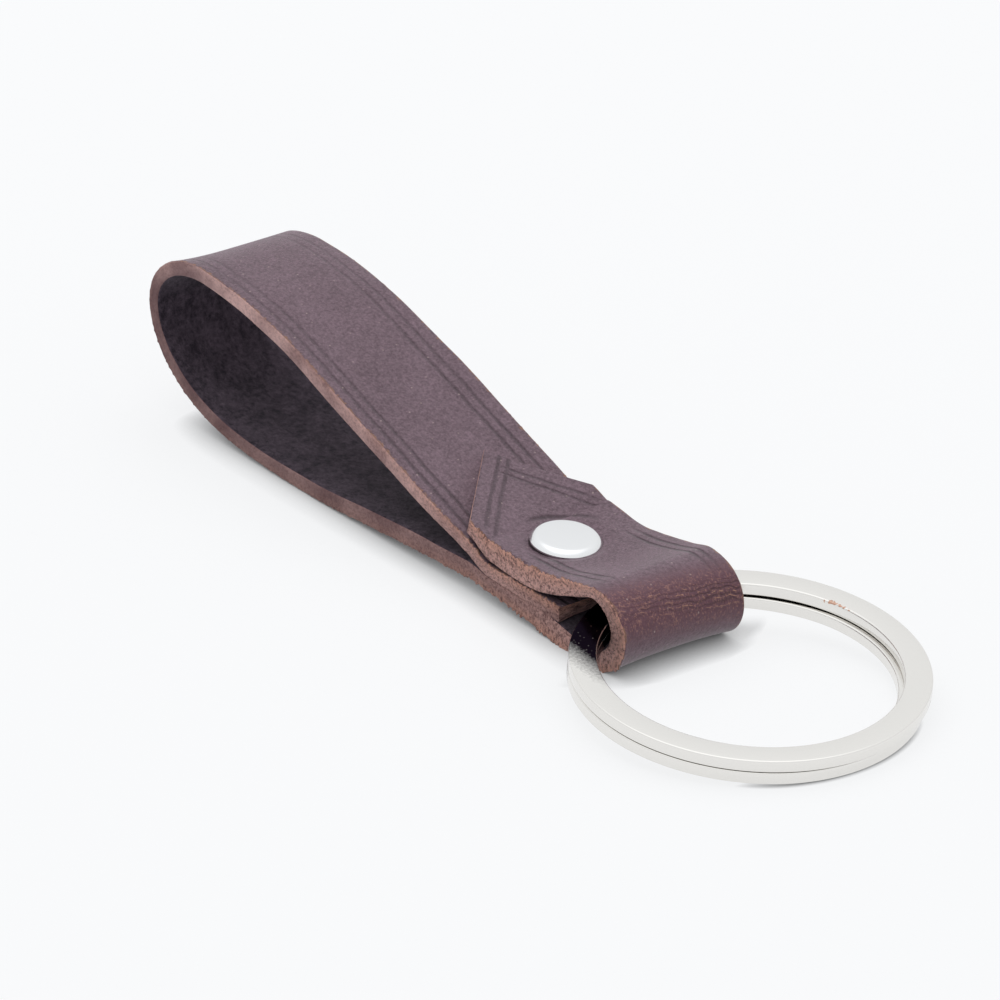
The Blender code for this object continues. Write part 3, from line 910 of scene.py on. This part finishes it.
    def cut_flat(self) -> Object:
        """The flat strip with its pointed end, given its thickness and rounded along its cut edges.

        Returns:
            The flat strip.
        """
        start, end = self.tip_start, self.fold.length
        rows = round((end - start) / self.row_spacing)
        bpy.ops.object.select_all(action="DESELECT")
        bpy.ops.mesh.primitive_grid_add(
            x_subdivisions=rows, y_subdivisions=self.strips_across, size=1,
            location=((start + end) / 2, 0, -self.sheet / 2))
        bpy.context.active_object.scale = (end - start, self.width, 1)
        strip = settle("leather_strap")
        with editing(strip):
            for place, outward in (self.slanted(-1), self.slanted(1)):
                bpy.ops.mesh.bisect(plane_co=place, plane_no=outward, clear_outer=True, threshold=CUT_SPARE)
                bpy.ops.mesh.select_all(action="SELECT")
            bpy.ops.mesh.remove_doubles(threshold=EDGE_SPARE)
            for _ in range(self.edge_rows):
                bpy.ops.mesh.extrude_region_move(
                    TRANSFORM_OT_translate={"value": (0, 0, self.sheet / self.edge_rows)})
            turn_out()
            pick_edges(strip, lambda *ends: all(
                abs(end.z) > self.sheet / 2 - FACE_SPARE and self.rim(end) < FACE_SPARE for end in ends))
            bpy.ops.mesh.bevel(offset=self.edge_round, segments=2, affect="EDGES")
        return strip

    def rim(self, place: Vector) -> float:
        """Distance of a place on the flat strip from the strip's outline.

        Args:
            place: The place.

        Returns:
            The distance to the nearest cut, negative outside.
        """
        near, near_out = self.slanted(-1)
        far, far_out = self.slanted(1)
        flat = Vector((place.x, place.y, 0))
        return min(
            self.width / 2 - abs(place.y), self.fold.length - place.x,
            (near - flat).dot(near_out), (far - flat).dot(far_out))

    def punch(self, strip: Object) -> None:
        """Punch the rivet's three holes through the flat strip.

        Args:
            strip: The flat strip.
        """
        for length in self.fold.crossings(self.rivet.x):
            bpy.ops.object.select_all(action="DESELECT")
            bpy.ops.mesh.primitive_cylinder_add(
                vertices=64, radius=self.hole_radius, depth=4 * self.sheet, location=(length, self.rivet.y, 0))
            punch = settle("hole_punch")
            cut = strip.modifiers.new("rivet_hole", "BOOLEAN")
            cut.operation = "DIFFERENCE"
            cut.solver = "EXACT"
            cut.object = punch
            apply_all(strip)
            bpy.data.objects.remove(punch)

    def creases(self) -> list[CreasePair]:
        """The creasing tool's grooves on the flat strip.

        Returns:
            A pair of grooves for each cut and stretch.
        """
        half = self.width / 2
        near_side = (Vector((0, -half, 0)), Vector((0, -1, 0)))
        far_side = (Vector((0, half, 0)), Vector((0, 1, 0)))
        along, back = Vector((1, 0, 0)), Vector((-1, 0, 0))
        near_cut, far_cut = self.slanted(-1), self.slanted(1)
        (tip, near_out), (_, far_out) = near_cut, far_cut
        # Beside the slanted cuts the near pair runs up to the far cut, and the far pair ends at the near pair
        inside_far = (-far_out, -tip.dot(far_out), 0.2 * MM - tip.dot(far_out))
        past_near = (-near_out, *(inset - tip.dot(near_out) for inset in self.cut_creases))
        from_near, from_far = ((Vector((0, side, 0)), 0.4 * MM - half, 1.4 * MM - half) for side in (1, -1))
        # Beside the long cuts one pair fades in past the point and ends at the bend over the eye
        foot, bend = self.foot, self.fold.mark("eye") + 4 * MM
        # The other pair comes in slowly, from the finger loop's end on
        run = self.fold.mark("loop") + 40 * MM
        slowly = (along, run, run + 60 * MM)
        return [
            CreasePair(near_cut, self.cut_creases, 0.75, (inside_far, from_near)),
            CreasePair(far_cut, self.cut_creases, 0.75, (past_near, from_far)),
            CreasePair(near_side, self.near_body_creases, 1.0, (
                (along, foot + 6 * MM, foot + 8 * MM), (back, 2 * MM - bend, 5 * MM - bend))),
            CreasePair(far_side, self.far_body_creases, 1.0, (
                (along, foot + 7 * MM, foot + 10 * MM), (back, -bend, -(bend - 3 * MM)))),
            CreasePair(near_side, self.near_creases, 0.85, (slowly,)),
            CreasePair(far_side, self.far_creases, 0.85, (slowly,)),
        ]

    def carry_marks(self, strip: Object) -> None:
        """Keep each point's flat place and its cut's looks as attributes, and sort the faces by side.

        Args:
            strip: The flat strip.
        """
        mesh = strip.data
        flat = points_of(mesh)
        place = mesh.attributes.new("flat_place", "FLOAT_VECTOR", "POINT")
        place.data.foreach_set("vector", flat.ravel())
        length, *looks = np.array(self.cut_looks).T
        # The second look is how much darker the cut is painted, with painted shade at the tail's end inside the
        # eye
        for name, values in zip(("rawness", "edge_darkening"), looks):
            carried = mesh.attributes.new(name, "FLOAT", "POINT")
            carried.data.foreach_set("value", np.interp(flat[:, 0] / MM, length, values))
        normals = np.zeros(len(mesh.polygons) * 3)
        mesh.polygons.foreach_get("normal", normals)
        up = normals.reshape(-1, 3)[:, 2]
        side = np.where(up > 0.9, LeatherSide.GRAIN, np.where(up < -0.9, LeatherSide.FLESH, LeatherSide.CUT))
        for _ in LeatherSide:
            mesh.materials.append(None)
        mesh.polygons.foreach_set("material_index", side.astype(np.int32))

    def lift(self, s: np.ndarray, y: np.ndarray, grain_share: np.ndarray) -> np.ndarray:
        """How far places stand off the fold line's own layer, because the edges curl, droop and swell.

        Args:
            s: Lengths along the strip.
            y: Places across it.
            grain_share: 0 on the flesh side and 1 on the grain side.

        Returns:
            Distances outward on the grain side.
        """
        table = np.array(self.stand_off) * MM
        fine = np.arange(0, table[-1, 0], self.smoothing_step)
        window = round(self.smoothing / self.smoothing_step)
        spread = np.pad(fine, window, mode="edge")
        columns = [
            np.convolve(np.interp(spread, table[:, 0], column), np.ones(window) / window, "same")[window:-window]
            for column in table[:, 1:].T]
        near_grain, near_flesh, far_grain, far_flesh = (np.interp(s, fine, column) for column in columns)
        grain = np.where(y < 0, near_grain, far_grain)
        flesh = np.where(y < 0, near_flesh, far_flesh)
        aside = np.clip(np.abs(y) / (self.width / 2), 0, 1) ** self.curl_power
        return aside * (grain * grain_share + flesh * (1 - grain_share))

    def fold_up(self, strip: Object) -> None:
        """Carry every point of the flat strip to its place along the fold line.

        Args:
            strip: The flat strip.
        """
        mesh, fold = strip.data, self.fold
        flat = points_of(mesh)
        s, y, h = flat.T.copy()
        x, z, heading, leather = (
            np.interp(s, fold.along, values) for values in (fold.x, fold.z, fold.heading, fold.leather))
        off = h / self.sheet * leather
        grain_share = h / self.sheet + 0.5
        off += self.lift(s, y, grain_share)
        top_hole = fold.crossings(self.rivet.x)[0]
        from_rivet = np.hypot(s - top_hole, y - self.rivet.y)
        dish = np.clip((self.dish_radius + self.dish_reach - from_rivet) / self.dish_reach, 0, 1)
        off -= self.dish_depth * eased(dish) * grain_share
        y = y + self.fray(flat)
        tuft = self.tufts(s, y, grain_share)
        y, off = y + np.sign(y) * tuft * self.tuft_aside, off + tuft
        folded = np.stack([x - off * np.sin(heading), y, np.maximum(z + off * np.cos(heading), 0)], axis=1)
        mesh.vertices.foreach_set("co", folded.ravel())
        mesh.update()

    def fray(self, flat: np.ndarray) -> np.ndarray:
        """How far each point of the two long cut edges stands out or in, as raw fibre does.

        Args:
            flat: Places on the flat strip.

        Returns:
            Distances along Y.
        """
        out = np.zeros(len(flat))
        edge = np.nonzero(np.abs(flat[:, 1]) > self.width / 2 - EDGE_SPARE)[0]
        for index in edge:
            s, y, h = flat[index] / MM
            # Coarse fibre 0.45 mm long and fine fibre 0.18 mm long
            rough = noise.noise(Vector((s * 2.2, y, h * 3))) + 0.6 * noise.noise(Vector((s * 5.5, y, h * 6)))
            out[index] = math.copysign(self.ragged * rough, flat[index, 1])
        return out

    def tufts(self, s: np.ndarray, y: np.ndarray, grain_share: np.ndarray) -> np.ndarray:
        """How far the near side's torn grain rim stands out in tufts of fibre.

        Args:
            s: Lengths along the strip.
            y: Places across it.
            grain_share: 0 on the flesh side and 1 on the grain side.

        Returns:
            Distances outward.
        """
        length, raw, _ = np.array(self.cut_looks).T
        rows = round(self.fold.length / self.row_spacing) + 2
        # Each row of points has a tuft of its own length, on the outer 40 % of the leather's thickness
        spread = np.random.default_rng(self.tuft_seed).random(rows) ** self.tuft_power
        each = spread[np.clip(np.round(s / self.row_spacing).astype(int), 0, len(spread) - 1)]
        at_rim = np.clip((grain_share - 0.6) / 0.25, 0, 1) * (-y > self.width / 2 - 0.08 * MM - self.ragged)
        return self.tuft_length * each * at_rim * np.interp(s / MM, length, raw)

    def dress(self, strip: Object) -> None:
        """Give the strap its three materials and its smooth shading.

        Args:
            strip: The folded strip.
        """
        eye = self.fold.mark("eye")
        rivet = Vector((self.fold.crossings(self.rivet.x)[0], self.rivet.y, self.sheet / 2))
        strip.data.materials[LeatherSide.GRAIN] = GrainLeather().make(
            (eye + self.bend_start, eye + self.bend_end), self.width / 2, self.creases(), (rivet, self.press_ring))
        strip.data.materials[LeatherSide.FLESH] = FleshLeather().make()
        strip.data.materials[LeatherSide.CUT] = CutLeather().make()
        shade(strip, 40)


# Rivet

@dataclass
class RivetCap:
    """One stamped cap of the double-cap rivet: a low dome with its rim rolled in under it."""
    name: str
    centre: Vector
    seat: float
    height: float
    direction: int
    lean: float
    lean_axis: Vector
    radius: float = 3.35 * MM
    rim: float = 0.25 * MM
    shoulder: float = 0.7 * MM
    shoulder_share: float = 0.68
    shoulder_turn: float = math.radians(48)
    shoulder_steps: int = 12
    dome_share: float = 0.12
    wall: float = 0.15 * MM
    segments: int = 96
    # The rolled rim: how far in, as a share of its width, and how far up, as a share of the last drop
    rim_profile: tuple[tuple[float, float], ...] = ((0.0, 0.35), (0.2, 0.1), (0.7, 0.0), (1.0, 0.5))

    @property
    def dome_height(self) -> float:
        """Height of the cap's nearly flat middle over its shoulder."""
        return self.height * self.dome_share

    def build(self, plating: Material) -> Object:
        """Stamp the dome from a sphere, draw its rim down and in, and close it from inside.

        Args:
            plating: The rivet's finish.

        Returns:
            The cap.
        """
        dome_base = self.radius - self.shoulder
        sphere = (dome_base ** 2 + self.dome_height ** 2) / (2 * self.dome_height)
        crown = self.seat + self.height
        bpy.ops.object.select_all(action="DESELECT")
        bpy.ops.mesh.primitive_uv_sphere_add(
            segments=self.segments, ring_count=self.segments, radius=sphere,
            location=(self.centre.x, self.centre.y, crown - sphere))
        cap = settle(self.name)
        rim_top = crown - self.dome_height
        side = self.height - self.dome_height
        angles = np.linspace(math.asin(dome_base / sphere), self.shoulder_turn, self.shoulder_steps + 1)
        wide, low = np.sin(angles) - np.sin(angles[0]), np.cos(angles[0]) - np.cos(angles)
        out, down = wide / wide[-1] * self.shoulder, low / low[-1] * side * self.shoulder_share
        rest = side - float(down[-1])
        profile = [(dome_base + float(wider), -float(lower)) for wider, lower in zip(out[1:], down[1:])]
        profile += [(self.radius - inward * self.rim, -side + up * rest) for inward, up in self.rim_profile]
        profile.append((dome_base, -self.wall))
        with editing(cap):
            bpy.ops.mesh.bisect(
                plane_co=(0, 0, rim_top), plane_no=(0, 0, -1), clear_outer=True, threshold=CUT_SPARE)
            pick_edges(cap, lambda a, b: max(a.z, b.z) < rim_top + 2 * CUT_SPARE)
            radius, height = dome_base, 0.0
            for next_radius, next_height in profile:
                bpy.ops.mesh.extrude_region_move(TRANSFORM_OT_translate={"value": (0, 0, next_height - height)})
                bpy.ops.transform.resize(
                    value=(next_radius / radius, next_radius / radius, 1),
                    center_override=(self.centre.x, self.centre.y, rim_top + next_height))
                radius, height = next_radius, next_height
            bpy.ops.mesh.edge_face_add()
            turn_out()
            if self.direction < 0:
                bpy.ops.transform.rotate(
                    value=math.pi, orient_axis="X", center_override=(self.centre.x, self.centre.y, self.seat))
        seat = Matrix.Translation((self.centre.x, self.centre.y, self.seat))
        cap.data.transform(seat @ Matrix.Rotation(self.lean, 4, self.lean_axis) @ seat.inverted())
        shade(cap, 12)
        coat(cap, plating)
        return cap


@dataclass
class Rivet:
    """The double-cap rivet: two caps made here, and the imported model's socket and post between them."""
    centre: Vector
    top_seat: float = 5.8 * MM
    top_height: float = 0.84 * MM
    # The upper cap was set a little askew: its face leans to the ring's far side
    top_lean: float = math.radians(5.5)
    lean_axis: Vector = field(default_factory=lambda: Vector((-0.25, 0.97, 0)))
    bottom_seat: float = 0.8 * MM
    bottom_height: float = 0.8 * MM

    def build(self) -> None:
        """Make and dress the rivet's four pieces."""
        plating = NickelPlate("nickel_plated_steel_rivet", "#EDEEEF", 0.16, 0.02, skin=0.001 * MM).make()
        for name, seat, height, direction, lean, solid in (
                ("rivet_cap_upper", self.top_seat, self.top_height, 1, self.top_lean, "rivet_top_cap"),
                ("rivet_cap_lower", self.bottom_seat, self.bottom_height, -1, 0.0, "rivet_bottom_cap")):
            cap = RivetCap(name, self.centre, seat, height, direction, lean, self.lean_axis).build(plating)
            hand_over(cap, Body.STRAP, Slot.RIVET_PLATING, solid)
        for name in ("rivet_socket", "rivet_post"):
            coat(frame["nodes"][name], plating)
            log.info("%s: finish assigned", name)


# Ring

@dataclass
class SplitRing:
    """The flat split ring: one flat wire wound into two turns, with its step hidden in the eye."""
    hinge: Vector
    radius: float = 16.0 * MM
    wire_width: float = 2.5 * MM
    wire_thickness: float = 1.15 * MM
    wire_corner: float = 0.17 * MM
    seam: float = 0.05 * MM
    # Where the first turn gapes and stands inward: azimuth, how far, and to how many radians on either side
    gapes: tuple[Triple, ...] = (
        (math.radians(90), 0.03 * MM, 2.0), (math.radians(145), 0.11 * MM, 0.65))
    inset: Triple = (math.radians(68), 0.5 * MM, 1.65)
    hinge_to_centre: float = 13.831 * MM
    tilt: float = math.radians(5.607)
    level_turn: float = math.radians(348)
    step: float = math.radians(12)
    stations: int = 580
    free_of_eye: tuple[float, float] = (math.radians(10), math.radians(28))
    # The middle of the worn place on the inner edge
    wear: Triple = (0.0284, 0.0131, 0.0044)

    @property
    def middle(self) -> float:
        """Radius of the wire's middle line."""
        return self.radius - self.wire_width / 2

    @property
    def start(self) -> float:
        """Azimuth of the wire's first end."""
        return math.pi + self.step / 2

    def build(self) -> Object:
        """Spin the wire's section round the ring twice, lift the second turn and hang the ring in the eye.

        Returns:
            The ring.
        """
        bpy.ops.object.select_all(action="DESELECT")
        bpy.ops.mesh.primitive_plane_add(size=1, location=(self.middle, 0, 0), rotation=(math.pi / 2, 0, 0))
        bpy.context.active_object.scale = (self.wire_width, self.wire_thickness, 1)
        ring = settle("split_ring_wire")
        whole = 2 * self.level_turn + self.step
        with editing(ring):
            bpy.ops.mesh.bevel(offset=self.wire_corner, segments=4, affect="VERTICES")
            bpy.ops.mesh.select_all(action="SELECT")
            bpy.ops.mesh.spin(
                steps=self.stations, angle=whole, center=(0, 0, 0), axis=(0, 0, 1), use_auto_merge=False,
                dupli=False)
        mesh = ring.data
        self.lay_turns(mesh, whole)
        mesh.transform(Matrix.Rotation(self.start, 4, "Z"))
        mesh.transform(Matrix.Translation((self.hinge_to_centre, 0, 0)))
        mesh.transform(Matrix.Rotation(self.tilt, 4, "Y"))
        mesh.transform(Matrix.Translation(self.hinge))
        with editing(ring):
            turn_out()
        coat(ring, NickelPlate("nickel_plated_spring_steel", "#EAE8E4", 0.17, 0.05, wear=self.wear).make())
        shade(ring, 35)
        hand_over(ring, Body.RING, Slot.RING_PLATING, "split_ring")
        return ring

    def lay_turns(self, mesh: Mesh, whole: float) -> None:
        """Raise the second turn on the first, which gapes and stands inward at the far side.

        Args:
            mesh: The wire wound flat, whose points follow the winding in their order.
            whole: The wire's whole angle.
        """
        per_station = len(mesh.vertices) // (self.stations + 1)
        half = self.wire_thickness / 2
        flat = mesh.attributes.new("wire_place", "FLOAT_VECTOR", "POINT")
        for index, vertex in enumerate(mesh.vertices):
            turned = whole * (index // per_station) / self.stations
            across, up = vertex.co.xy.length - self.middle, vertex.co.z
            raised = eased(min(max((turned - self.level_turn) / self.step, 0), 1))
            corner = across < 0 and min(self.wire_width / 2 + across, half - abs(up)) > EDGE_SPARE
            under = raised == 1 and up + half < FACE_SPARE
            flat.data[index].vector = (across + self.wire_width / 2, up - half, float(corner) - float(under))
            azimuth = self.start - turned
            from_eye = abs(azimuth % math.tau - math.pi)
            low, high = self.free_of_eye
            free = eased(min(max((from_eye - low) / (high - low), 0), 1)) * (1 - raised)
            opened = sum(self.swell(azimuth, *gape) for gape in self.gapes) * free
            vertex.co.z += (self.wire_thickness + self.seam) * (raised - 0.5) - opened
            vertex.co.xy *= 1 - self.swell(azimuth, *self.inset) * free / vertex.co.xy.length

    def swell(self, azimuth: float, middle: float, size: float, spread: float) -> float:
        """A smooth rise to a size at one azimuth, which dies away over its spread."""
        away = (azimuth - middle + math.pi) % math.tau - math.pi
        return size * max(math.cos(away / spread * math.pi / 2), 0) if abs(away) < spread else 0


# Stage

@dataclass(frozen=True)
class Stage:
    """A pale floor, a soft overhead light and an even surround."""
    floor_colour: str = "#DEE0E2"
    floor_tone: str = "#DBDDDF"
    floor_seen: str = "#717172"
    floor_glow: float = 0.8
    contact: float = 3 * MM
    contact_at_metal: float = 0.45 * MM
    # From where to where along X the board turns from leather's to bare metal's, nearer by a share of |Y|
    metal_from: float = 27 * MM
    metal_to: float = 32 * MM
    metal_aside: float = 0.6
    floor_size: float = 6.0
    surround: str = "#FDFEFF"
    fill_low: float = 0.45
    fill_high: float = 0.78
    horizon: float = 0.9
    overhead: float = 0.3
    lamp_size: float = 2.0
    lamp_power: float = 9.0
    lamp_place: Triple = (-0.55, 0.15, 1.2)

    def build(self) -> None:
        """Set up the floor, the surround and the lamp."""
        bpy.ops.object.select_all(action="DESELECT")
        bpy.ops.mesh.primitive_plane_add(size=self.floor_size, location=(0, 0, 0))
        floor = settle("floor")
        floor.data.materials.append(self.board())
        self.light_surround()
        data = bpy.data.lights.new("softbox", "AREA")
        data.shape = "DISK"
        data.size = self.lamp_size
        data.energy = self.lamp_power
        lamp = bpy.data.objects.new("softbox", data)
        lamp.location = self.lamp_place
        lamp.rotation_euler = (-Vector(self.lamp_place)).to_track_quat("-Z", "Y").to_euler()
        lamp.visible_glossy = False
        bpy.context.scene.collection.objects.link(lamp)

    def board(self) -> Material:
        """The floor's matt white board, lifted a little where it is seen, so that its shadows stay light.

        Returns:
            The material.
        """
        finish, tree, shader = new_material("matt_white_board", {
            "Roughness": 0.9, "Specular IOR Level": 0.1, "Emission Color": linear(self.surround)})
        node = partial(add, tree)
        seen = self.seen(tree)
        place = node("TexCoord", out="Object")
        # Board is even to the eye: its colour varies by less than one part in a hundred, over some 80 mm
        tone = node("TexNoise", {"Vector": place, "Scale": 12.0, "Detail": 2.0})
        colour = linear(self.floor_colour)
        for share, code in ((tone, self.floor_tone), (seen, self.floor_seen)):
            colour = node("Mix", {0: share, 6: colour, 7: linear(code)}, **COLOUR_MIX)
        # The lift fades out next to whatever stands on the board, so that contact shadows stay deep, and reaches
        # closer to bright metal, which throws light back
        along, across, _ = node("SeparateXYZ", (place,)).node.outputs
        aside = node("Math", (across,), operation="ABSOLUTE")
        past_strap = node("Math", (aside, self.metal_aside, along), operation="MULTIPLY_ADD")
        reach = node("MapRange", (
            past_strap, self.metal_from, self.metal_to, self.contact, self.contact_at_metal))
        open_air = node("AmbientOcclusion", {"Distance": reach}, "AO", samples=8)
        mirrored = node("Math", (open_air, node("LightPath", out="Is Glossy Ray")), operation="MAXIMUM")
        lift = node("Math", (mirrored, self.floor_glow), operation="MULTIPLY")
        glow = node("Math", (seen, lift), operation="MULTIPLY")
        connect(shader, {"Base Color": colour, "Emission Strength": glow})
        return finish

    def seen(self, tree: NodeTree) -> NodeSocket:
        """1 for camera, glossy and transmission rays, and 0 for all others.

        Args:
            tree: The node tree.

        Returns:
            A value socket.
        """
        rays = add(tree, "LightPath").node.outputs
        either = add(tree, "Math", (rays["Is Camera Ray"], rays["Is Glossy Ray"]), operation="MAXIMUM")
        return add(tree, "Math", (either, rays["Is Transmission Ray"]), operation="MAXIMUM")

    def light_surround(self) -> None:
        """An even surround, which camera, glossy and transmission rays see white overhead."""
        world = bpy.data.worlds.new("surround")
        bpy.context.scene.world = world
        world.use_nodes = True
        tree = world.node_tree
        node = partial(add, tree)
        up = node("SeparateXYZ", (node("TexCoord", out="Generated"),), "Z")
        # A tent that whitens upward, and a soft box overhead that shows from 46 degrees up
        tent = node("MapRange", (up, 0.35, 0.85, self.horizon, 1.0))
        box = node("MapRange", (up, 0.72, 0.95, 0.0, self.overhead), interpolation_type="SMOOTHSTEP")
        shown = node("Math", (tent, box), operation="ADD")
        lit = node("MapRange", (up, 0.0, 1.0, self.fill_low, self.fill_high))
        background = tree.nodes["Background"]
        background.inputs["Color"].default_value = linear(self.surround)
        connect(background, {"Strength": node("Mix", {0: self.seen(tree), 2: lit, 3: shown})})


@dataclass(frozen=True)
class ProductCamera:
    """The camera at the photograph's angle, worked out from the ring's ellipses and the strap's edges."""
    azimuth: float = math.radians(52.212)
    elevation: float = math.radians(26.008)
    roll: float = math.radians(-0.899)
    distance: float = 0.8008
    target: Triple = (-0.004418, 0.000627, 0.005)
    lens: float = 319.35

    def build(self) -> None:
        """Place the camera and make it the scene's own."""
        flat = math.cos(self.elevation)
        back = Vector((math.sin(self.azimuth) * flat, -math.cos(self.azimuth) * flat, math.sin(self.elevation)))
        right = (-back).cross(Vector((0, 0, 1))).normalized()
        down = (-back).cross(right)
        turned_right = right * math.cos(self.roll) + down * math.sin(self.roll)
        turned_down = down * math.cos(self.roll) - right * math.sin(self.roll)
        data = bpy.data.cameras.new("product_camera")
        data.lens = self.lens
        data.sensor_width = 36
        data.clip_end = 10
        camera = bpy.data.objects.new("product_camera", data)
        camera.matrix_world = Matrix.Translation(Vector(self.target) + back * self.distance) @ Matrix(
            (turned_right, -turned_down, back)).transposed().to_4x4()
        bpy.context.scene.collection.objects.link(camera)
        bpy.context.scene.camera = camera


def main() -> None:
    """Build every piece in order, then the stage and the camera."""
    logging.basicConfig(level=logging.INFO, format="%(message)s")
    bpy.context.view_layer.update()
    joint = frame["joints"][0]
    hinge = Vector(joint["pos_m"])
    low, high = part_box("rivet_top_cap")
    rivet = (low + high) / 2
    fold = FoldLine(hinge)
    fold.trace()
    log.info("strap line: %.1f mm", fold.length / MM)
    ProductCamera().build()
    Strap(fold, rivet).build()
    Rivet(rivet).build()
    SplitRing(hinge).build()
    Stage().build()
    bpy.context.scene.view_settings.view_transform = "Standard"


if __name__ == "__main__":
    main()
